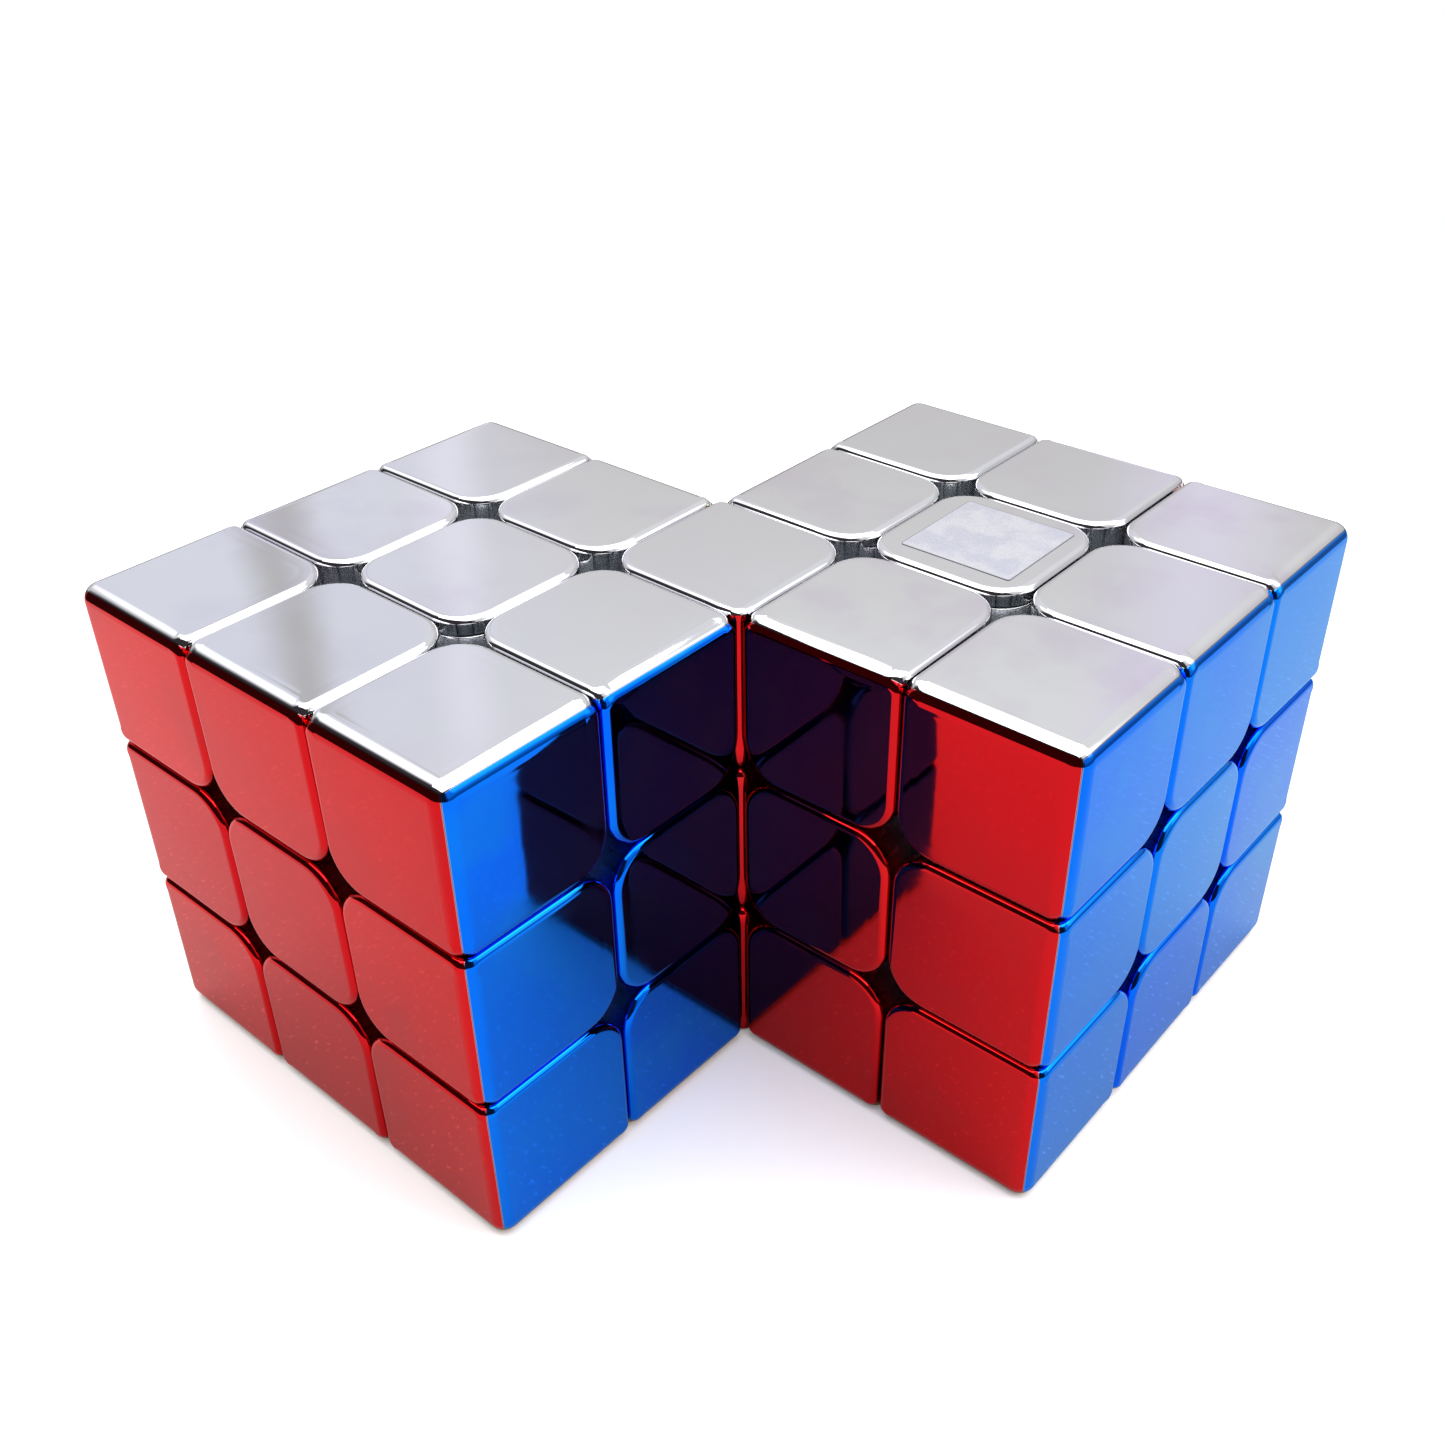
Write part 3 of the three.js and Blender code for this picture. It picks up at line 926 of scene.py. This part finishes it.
rings, grey_band_marks = label_rings()
places = with_play("right_cube_centre_top", placed(rings, cube_middles["right_cube"], 2, 1))
mesh = mesh_of_rings("right_cube_label", places, marks={"thin_plating": grey_band_marks})
foil = label_foil("satin_label_foil")
label_body = nodes["right_cube_centre_top_cap"]["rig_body"]
link_piece(mesh.name, mesh, foil, label_body, sharp=40)
print("label side in mm:", round(2 * LABEL_HALF / MM, 1))

# %% [markdown]
# ## Screws, washers and springs
# Every arm of a core holds its centre with a pan-head screw, a washer and a compression spring,
# which lets the layers give a little. The screw and washer are lathe profiles: the screw's head
# sinks into a cross-shaped recess and its lower half carries a thread, which is a wave that runs
# round as it runs down. Sizes come from the CAD pieces of the top arm.

# %% One arm's screw, washer and spring
ROUND_POINTS = 64
around = np.arange(ROUND_POINTS) / ROUND_POINTS * 2 * math.pi
SHANK_RADIUS = 1.2 * MM
THREAD_HEIGHT = 0.25 * MM
THREAD_PITCH = 0.9 * MM
THREAD_TOP = 12.6 * MM  # above the cube's middle
THREAD_SUNK = 0.1 * MM  # how far the thread's root lies inside the shank
PLAIN_TIP = 0.5 * MM
HEAD_EASE = 0.1 * MM
HEAD_HEIGHT = 2.1 * MM
CROSS_HALF_WIDTH = 0.42 * MM
CROSS_REACH = 1.7 * MM
CROSS_DEPTH = 1.1 * MM
WASHER_HOLE = 1.55 * MM
WASHER_EASE = 0.08 * MM
WIRE_RADIUS = 0.32 * MM
SPRING_TURNS = 5.5
CLOSED_TURNS = 0.9
WIRE_POINTS = 12


def turned_rings(radii, heights):
    """Rings about the Z axis. A ring's radius is one number, or one for each point round it."""
    radii = np.array([np.broadcast_to(r, ROUND_POINTS) for r in radii])
    heights = np.broadcast_to(np.array(heights)[:, None], radii.shape)
    return np.stack([radii * np.cos(around), radii * np.sin(around), heights], axis=-1)


def cross_outline():
    """A plus sign in polar form: the farther of its two bars, each cut at its end and its side."""
    c, s = np.maximum(np.abs(np.cos(around)), 1e-6), np.maximum(np.abs(np.sin(around)), 1e-6)
    flat = np.minimum(CROSS_REACH / c, CROSS_HALF_WIDTH / s)
    upright = np.minimum(CROSS_REACH / s, CROSS_HALF_WIDTH / c)
    return np.maximum(flat, upright)


def screw_rings(tip, top, head_radius):
    """From the bottom of the recess, out over the pan head, under it and down the thread."""
    cross = cross_outline()
    under = top - HEAD_HEIGHT
    head = [(0.45 * cross, top - CROSS_DEPTH), (0.8 * cross, top - 0.9 * CROSS_DEPTH)]
    head += [(cross, top)]
    for share, drop in ((0.72, 0.02), (0.86, 0.12), (0.95, 0.34), (0.99, 0.65), (1.0, 1.0)):
        head.append((share * head_radius, top - drop * MM))
    head += [(head_radius, under + HEAD_EASE), (head_radius - HEAD_EASE, under)]
    head += [(SHANK_RADIUS, under)]
    heights = np.arange(THREAD_TOP, tip + PLAIN_TIP, -THREAD_PITCH / 10)
    phase = around[None, :] / (2 * math.pi) + heights[:, None] / THREAD_PITCH
    ridge = np.abs(2 * (phase % 1) - 1) * THREAD_HEIGHT
    grown = np.clip((THREAD_TOP - heights) / THREAD_PITCH, 0, 1)[:, None]
    thread = SHANK_RADIUS - THREAD_SUNK * grown + ridge * grown
    radii = [r for r, _ in head] + list(thread) + [0.8 * thread[-1]]
    return turned_rings(radii, [h for _, h in head] + list(heights) + [tip])


def washer_rings(bottom, top, radius):
    """A flat ring with its outer edges eased, closed on itself."""
    ease = WASHER_EASE
    radii = [WASHER_HOLE, radius - ease, radius, radius, radius - ease, WASHER_HOLE]
    return turned_rings(radii, [top, top, top - ease, bottom + ease, bottom, bottom])


def spring_rings(bottom, top, radius):
    """Wire along a helix about Z. The first and last turns lie flat, as on a ground spring, and the
    rest rise evenly. Each ring of wire stands square to the helix."""
    turns = np.linspace(0, SPRING_TURNS, 24 * 6)
    flat_rise = CLOSED_TURNS * WIRE_RADIUS * 2.05
    knots = [0, CLOSED_TURNS, SPRING_TURNS - CLOSED_TURNS, SPRING_TURNS]
    rise = [bottom, bottom + flat_rise, top - flat_rise, top]
    height = np.interp(turns, knots, rise)
    angle = turns * 2 * math.pi
    outward = np.stack([np.cos(angle), np.sin(angle), np.zeros_like(angle)], axis=-1)
    line = radius * outward
    line[:, 2] = height
    along = np.gradient(line, axis=0)
    along /= np.linalg.norm(along, axis=1)[:, None]
    beside = np.cross(outward, along)
    round_wire = np.arange(WIRE_POINTS) / WIRE_POINTS * 2 * math.pi
    across = np.cos(round_wire)[:, None] * outward[:, None, :]
    up = np.sin(round_wire)[:, None] * beside[:, None, :]
    return line[:, None, :] + WIRE_RADIUS * (across + up)


def from_middle(node, cube):
    """A CAD piece's lowest and highest points from its cube's middle, and its half width."""
    low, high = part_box(node)
    return low.z - cube_middles[cube][2], high.z - cube_middles[cube][2], (high.x - low.x) / 2


# %% [markdown]
# The top arm's three pieces stand alone. The five other arms of a cube are the same pieces turned
# to the other sides, and all of one kind are kept in one mesh, because nothing moves them apart.

# %% Hardware of all twelve arms
ARM_TURNS = [
    Matrix.Rotation(math.pi, 4, "X"),
    Matrix.Rotation(math.pi / 2, 4, "X"),
    Matrix.Rotation(-math.pi / 2, 4, "X"),
    Matrix.Rotation(math.pi / 2, 4, "Y"),
    Matrix.Rotation(-math.pi / 2, 4, "Y"),
]


def turned_copies(mesh, name, middle, turns):
    """One mesh with a copy of the arm's piece for each turn, all round the cube's middle."""
    joined = bmesh.new()
    for turn in turns:
        before = len(joined.verts)
        joined.from_mesh(mesh)
        joined.verts.ensure_lookup_table()
        moved = Matrix.Translation(middle) @ turn
        bmesh.ops.transform(joined, matrix=moved, verts=joined.verts[before:])
    made = bpy.data.meshes.new(name)
    joined.to_mesh(made)
    joined.free()
    return made


hardware = []
for cube, middle in cube_middles.items():
    tip, top, head_radius = from_middle(f"{cube}_top_screw", cube)
    washer_low, washer_high, washer_radius = from_middle(f"{cube}_top_washer", cube)
    spring_low, spring_high, spring_radius = from_middle(f"{cube}_top_spring", cube)
    coil = (spring_low + WIRE_RADIUS, spring_high - WIRE_RADIUS, spring_radius - WIRE_RADIUS)
    kinds = {
        "screw": mesh_of_rings("screw", screw_rings(tip, top, head_radius)),
        "washer": mesh_of_rings(
            "washer", washer_rings(washer_low, washer_high, washer_radius), wrap=True, poles=False
        ),
        "spring": mesh_of_rings("spring", spring_rings(*coil)),
    }
    body = nodes[f"{cube}_core"]["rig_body"]
    for kind, mesh in kinds.items():
        alone = turned_copies(mesh, f"{cube}_top_{kind}_detail", middle, [Matrix.Identity(4)])
        others = turned_copies(mesh, f"{cube}_other_{kind}s", middle, ARM_TURNS)
        piece = link_piece(alone.name, alone, bright_zinc, body, sharp=40)
        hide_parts(f"{cube}_top_{kind}")
        rest = link_piece(others.name, others, bright_zinc, body, sharp=40)
        hardware += [piece, rest]
        bpy.data.meshes.remove(mesh)
print("hardware pieces:", len(hardware))

# %% [markdown]
# ## The two cores
# A core is one nylon moulding, a ball with six arms. The CAD core also holds the plain screws of
# five arms, so the copy is cut off where the arms end and closed again.

# %% Cores
ARM_END = 12.4 * MM
TRIM_MARGIN = 1.5 * MM

cores = []
for cube, middle in cube_middles.items():
    mesh = merged_copy(f"{cube}_core", f"{cube}_core_moulding")
    trimmed = bmesh.new()
    trimmed.from_mesh(mesh)
    centre = Vector(middle)
    beyond = [v for v in trimmed.verts if (v.co - centre).length > ARM_END + TRIM_MARGIN]
    bmesh.ops.delete(trimmed, geom=beyond, context="VERTS")
    open_edges = [e for e in trimmed.edges if e.is_boundary]
    bmesh.ops.holes_fill(trimmed, edges=open_edges, sides=0)
    still_open = sum(e.is_boundary for e in trimmed.edges)  # none, once every hole has its face
    trimmed.to_mesh(mesh)
    trimmed.free()
    body = nodes[f"{cube}_core"]["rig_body"]
    piece = link_piece(mesh.name, mesh, core_nylon, body, sharp=35)
    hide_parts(f"{cube}_core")
    cores.append(piece)
    print(cube, "core faces:", len(mesh.polygons), "open edges:", still_open)

# %% [markdown]
# ## Floor
# A sheet of pale card with sparse lighter grains, which the bottom row of cubies reflects as
# specks. The sides of the cubes are mirrors over it, so its brightness is what colours them, and
# its far edges are why their rims have a dark line. Seen directly it is burnt out to white, as on
# an overexposed studio sweep, so the card is lighter for the camera's own rays than in the mirrors.

# %% Floor
CARD_X = (-0.26, 0.42)
CARD_Y = (-0.6, 0.36)
CARD_Z = -0.05 * MM
TOOTH_SIZE = 0.7 * MM
BURNT_OUT = 0.16  # radiance that the overexposure adds, for the camera only

floor_mesh = bpy.data.meshes.new("floor")
floor_corners = [(x, y, CARD_Z) for x, y in itertools.product(CARD_X, CARD_Y)]
floor_mesh.from_pydata(floor_corners, [], [(0, 2, 3, 1)])
floor = bpy.data.objects.new("floor", floor_mesh)
bpy.context.scene.collection.objects.link(floor)

floor_card, tree = material("pale_card")
place = add(tree, "ShaderNodeTexCoord").outputs["Object"]
tooth = add(
    tree,
    "ShaderNodeTexNoise",
    {"Vector": place, "Scale": per_pattern(TOOTH_SIZE), "Detail": 3.0},
)
grains = eased_share(tree, tooth.outputs["Fac"], 0.6, 0.72)  # few, and lighter than the rest
tone = add(
    tree,
    "ShaderNodeMix",
    {"Factor": grains, "A": linear("#cdcdce"), "B": linear("#efefef")},
    data_type="RGBA",
)
seen = add(tree, "ShaderNodeLightPath").outputs["Is Camera Ray"]
shown = add(
    tree,
    "ShaderNodeMix",
    {"Factor": seen, "A": tone.outputs["Result"], "B": linear("#ffffff")},
    data_type="RGBA",
)
burnt_out = add(tree, "ShaderNodeMath", {0: seen, 1: BURNT_OUT}, operation="MULTIPLY")
shader = add(
    tree,
    "ShaderNodeBsdfPrincipled",
    {
        "Base Color": shown.outputs["Result"],
        "Roughness": 0.9,
        "Specular IOR Level": 0.1,
        "Emission Color": linear("#ffffff"),
        "Emission Strength": burnt_out.outputs["Value"],
    },
)
add(tree, "ShaderNodeOutputMaterial", {"Surface": shader.outputs["BSDF"]})
floor_mesh.materials.append(floor_card)

# %% [markdown]
# ## Light
# A mirror shows the room rather than itself, so the light is built from what the rims and faces
# reflect: one large box overhead, a bright window side towards +X and +Y, a dark quarter to the
# front where the person stands, a dim band at the horizon, and upright streaks at the back that
# show in the silver tops.

# %% Overhead box
BOX_HEIGHT = 3.0
BOX_SIDE = 4.2
BOX_AT_BACK = 0.25  # it hangs a little towards +Y
BOX_RADIANCE = 2.6

box_light = bpy.data.lights.new("overhead_box", "AREA")
box_light.size = BOX_SIDE
box_light.energy = BOX_RADIANCE * math.pi * BOX_SIDE**2  # so that its face has that radiance
box_lamp = bpy.data.objects.new("overhead_box", box_light)
box_lamp.location = (0, BOX_AT_BACK, BOX_HEIGHT)
bpy.context.scene.collection.objects.link(box_lamp)

# %% [markdown]
# The room is painted onto the world by direction: each layer is a soft mask and a radiance, laid
# over the layers before it. The camera's own rays see a plain white backdrop.

# %% Room
world = bpy.data.worlds.new("studio_room")
bpy.context.scene.world = world
world.use_nodes = True
tree = world.node_tree
tree.nodes.clear()
toward = add(tree, "ShaderNodeTexCoord").outputs["Generated"]
parts = add(tree, "ShaderNodeSeparateXYZ", {"Vector": toward}).outputs
compass = add(tree, "ShaderNodeMath", {0: parts["Y"], 1: parts["X"]}, operation="ARCTAN2")


def patch(direction, inner, outer):
    """1 within inner degrees of a direction, falling to 0 at outer degrees."""
    aim = Vector(direction).normalized()
    nearness = add(tree, "ShaderNodeVectorMath", {0: toward, 1: aim}, operation="DOT_PRODUCT")
    inner, outer = math.radians(inner), math.radians(outer)
    return eased_share(tree, nearness.outputs["Value"], math.cos(outer), math.cos(inner))


def upright_streak(bearing, half_width):
    """1 along a bearing, anticlockwise from +X, falling to 0 at half_width each side of it."""
    middle = math.radians(bearing)
    off = add(tree, "ShaderNodeMath", {0: compass.outputs[0], 1: middle}, operation="SUBTRACT")
    size = add(tree, "ShaderNodeMath", {0: off.outputs[0]}, operation="ABSOLUTE")
    return eased_share(tree, size.outputs[0], math.radians(half_width), 0.0)


LOW_ROOM = (0.72, 0.7, 0.7, 1)
HIGH_ROOM = (0.9, 0.905, 0.925, 1)
BACKDROP = (1.0, 1.0, 1.0, 1)
layers = [
    (eased_share(tree, parts["Z"], 0.34, 0.6), HIGH_ROOM),
    (eased_share(tree, parts["Z"], 0.2, 0.04), (0.3, 0.3, 0.33, 1)),
    (patch((-0.83, 0.35, 0.43), 7, 20), (0.86, 0.87, 0.97, 1)),
    (upright_streak(142.5, 2.0), (0.96, 0.95, 1.06, 1)),
    (upright_streak(149.5, 2.0), (0.6, 0.59, 0.6, 1)),
    (upright_streak(112.0, 5.0), (0.88, 0.84, 0.97, 1)),
    (eased_share(tree, parts["Y"], -0.2, -0.42), (0.04, 0.034, 0.038, 1)),
    (patch((-0.66, 0.0, 0.75), 9, 21), (1.6, 1.6, 1.7, 1)),
    (patch((0.65, 0.45, 0.62), 10, 26), (2.4, 2.4, 2.5, 1)),
    (add(tree, "ShaderNodeLightPath").outputs["Is Camera Ray"], BACKDROP),
]
room = add(tree, "ShaderNodeRGB").outputs[0]
room.default_value = LOW_ROOM
for share, radiance in layers:
    over = {"Factor": share, "A": room, "B": radiance}
    room = add(tree, "ShaderNodeMix", over, data_type="RGBA").outputs["Result"]
light = add(tree, "ShaderNodeBackground", {"Color": room, "Strength": 1.0})
add(tree, "ShaderNodeOutputWorld", {"Surface": light.outputs["Background"]})
print("room layers:", len(layers))

# %% [markdown]
# ## Camera
# A close view from above the front right, with a slightly wide lens, so the near corners spread.
# It is rolled a little over one degree.

# %% Camera
CAMERA_PLACE = Vector((0.091257, -0.104803, 0.127808))
CAMERA_TARGET = Vector((-0.00766, 0.00714, 0.028))
CAMERA_ROLL = math.radians(-1.15)
FOCAL_LENGTH = 37.78  # in millimetres, as Blender counts it, like the sensor
SENSOR_WIDTH = 36.0

camera_data = bpy.data.cameras.new("camera")
camera_data.lens = FOCAL_LENGTH
camera_data.sensor_width = SENSOR_WIDTH
camera_data.clip_start = 5 * MM
camera = bpy.data.objects.new("camera", camera_data)
bpy.context.scene.collection.objects.link(camera)
ahead = (CAMERA_TARGET - CAMERA_PLACE).normalized()
right = ahead.cross(Vector((0, 0, 1))).normalized()
upward = right.cross(ahead)
rolled_right = right * math.cos(CAMERA_ROLL) + upward * math.sin(CAMERA_ROLL)
rolled_up = upward * math.cos(CAMERA_ROLL) - right * math.sin(CAMERA_ROLL)
turn = Matrix((rolled_right, rolled_up, -ahead)).transposed()
camera.matrix_world = Matrix.Translation(CAMERA_PLACE) @ turn.to_4x4()
bpy.context.scene.camera = camera
bpy.context.scene.view_settings.view_transform = "Standard"
